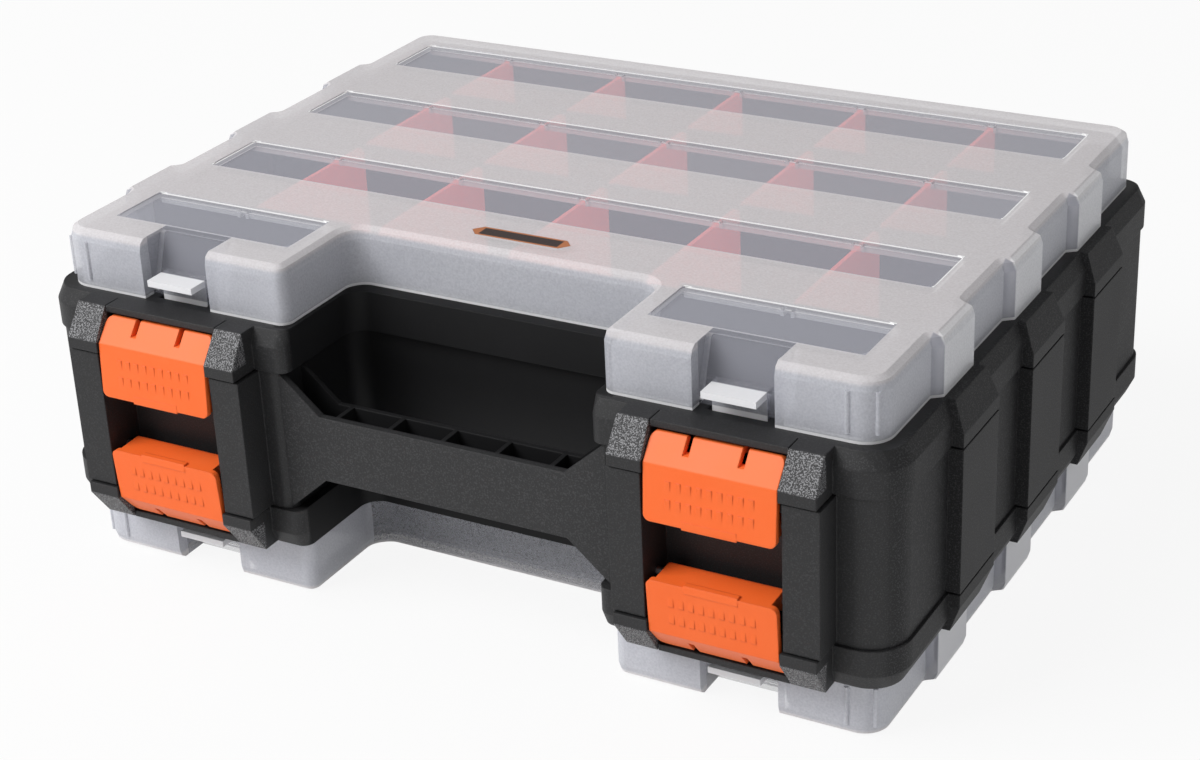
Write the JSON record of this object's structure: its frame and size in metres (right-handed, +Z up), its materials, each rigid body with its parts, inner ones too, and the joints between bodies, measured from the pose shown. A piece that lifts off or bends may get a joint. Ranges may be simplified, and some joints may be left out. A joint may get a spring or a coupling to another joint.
{
  "type": "organizer case",
  "caption": "Two-sided organizer case with a clear hinged lid above and below, orange pull latches, a recessed carry bar and removable dividers in rows of compartments.",
  "frame": {"origin": "middle of the footprint, on the ground plane under the closed lower lid", "axes": "+X to the right along the latched front, -Y towards the latched front, +Z up through the upper lid"},
  "size_m": [0.32, 0.253, 0.1208],
  "materials": {
    "black_plastic": "textured matte black",
    "frosted_clear": "frosted translucent, clear in the windows",
    "orange_plastic": "satin orange",
    "divider_plastic": "satin orange-red",
    "steel": "plain steel",
    "plate_plastic": "bare dark plate"
  },
  "bodies": {
    "case": {"bottom_left_hinge_pin": "steel", "bottom_right_hinge_pin": "steel", "lower_left_latch_pin": "steel", "lower_right_latch_pin": "steel", "lower_tray": "black_plastic", "middle_shell": "black_plastic", "top_left_hinge_pin": "steel", "top_right_hinge_pin": "steel", "tray_screws": "steel", "upper_divider_1_1": "divider_plastic", "upper_divider_1_2": "divider_plastic", "upper_divider_1_3": "divider_plastic", "upper_divider_1_4": "divider_plastic", "upper_divider_1_5": "divider_plastic", "upper_divider_2_1": "divider_plastic", "upper_divider_2_2": "divider_plastic", "upper_divider_2_3": "divider_plastic", "upper_divider_2_4": "divider_plastic", "upper_divider_2_5": "divider_plastic", "upper_divider_3_1": "divider_plastic", "upper_divider_3_2": "divider_plastic", "upper_divider_3_3": "divider_plastic", "upper_divider_3_4": "divider_plastic", "upper_divider_3_5": "divider_plastic", "upper_left_latch_pin": "steel", "upper_right_latch_pin": "steel", "upper_tray": "black_plastic"},
    "top_lid": {"top_lid": "frosted_clear", "name_plate": "plate_plastic"},
    "bottom_lid": {"bottom_lid": "frosted_clear"},
    "upper_left_latch": {"upper_left_latch": "orange_plastic"},
    "upper_right_latch": {"upper_right_latch": "orange_plastic"},
    "lower_left_latch": {"lower_left_latch": "orange_plastic"},
    "lower_right_latch": {"lower_right_latch": "orange_plastic"}
  },
  "joints": [
    {"name": "top_lid_hinge", "type": "hinge", "parent": "case", "child": "top_lid", "pos_m": [0, 0.1227, 0.1044], "axis": [-1, 0, 0], "range_deg": [0, 115]},
    {"name": "bottom_lid_hinge", "type": "hinge", "parent": "case", "child": "bottom_lid", "pos_m": [0, 0.1227, 0.0164], "axis": [1, 0, 0], "range_deg": [0, 115]},
    {"name": "upper_left_latch_hinge", "type": "hinge", "parent": "case", "child": "upper_left_latch", "pos_m": [-0.102, -0.1163, 0.0732], "axis": [1, 0, 0], "range_deg": [0, 100]},
    {"name": "upper_right_latch_hinge", "type": "hinge", "parent": "case", "child": "upper_right_latch", "pos_m": [0.102, -0.1163, 0.0732], "axis": [1, 0, 0], "range_deg": [0, 100]},
    {"name": "lower_left_latch_hinge", "type": "hinge", "parent": "case", "child": "lower_left_latch", "pos_m": [-0.102, -0.1163, 0.0476], "axis": [-1, 0, 0], "range_deg": [0, 100]},
    {"name": "lower_right_latch_hinge", "type": "hinge", "parent": "case", "child": "lower_right_latch", "pos_m": [0.102, -0.1163, 0.0476], "axis": [-1, 0, 0], "range_deg": [0, 100]}
  ]
}
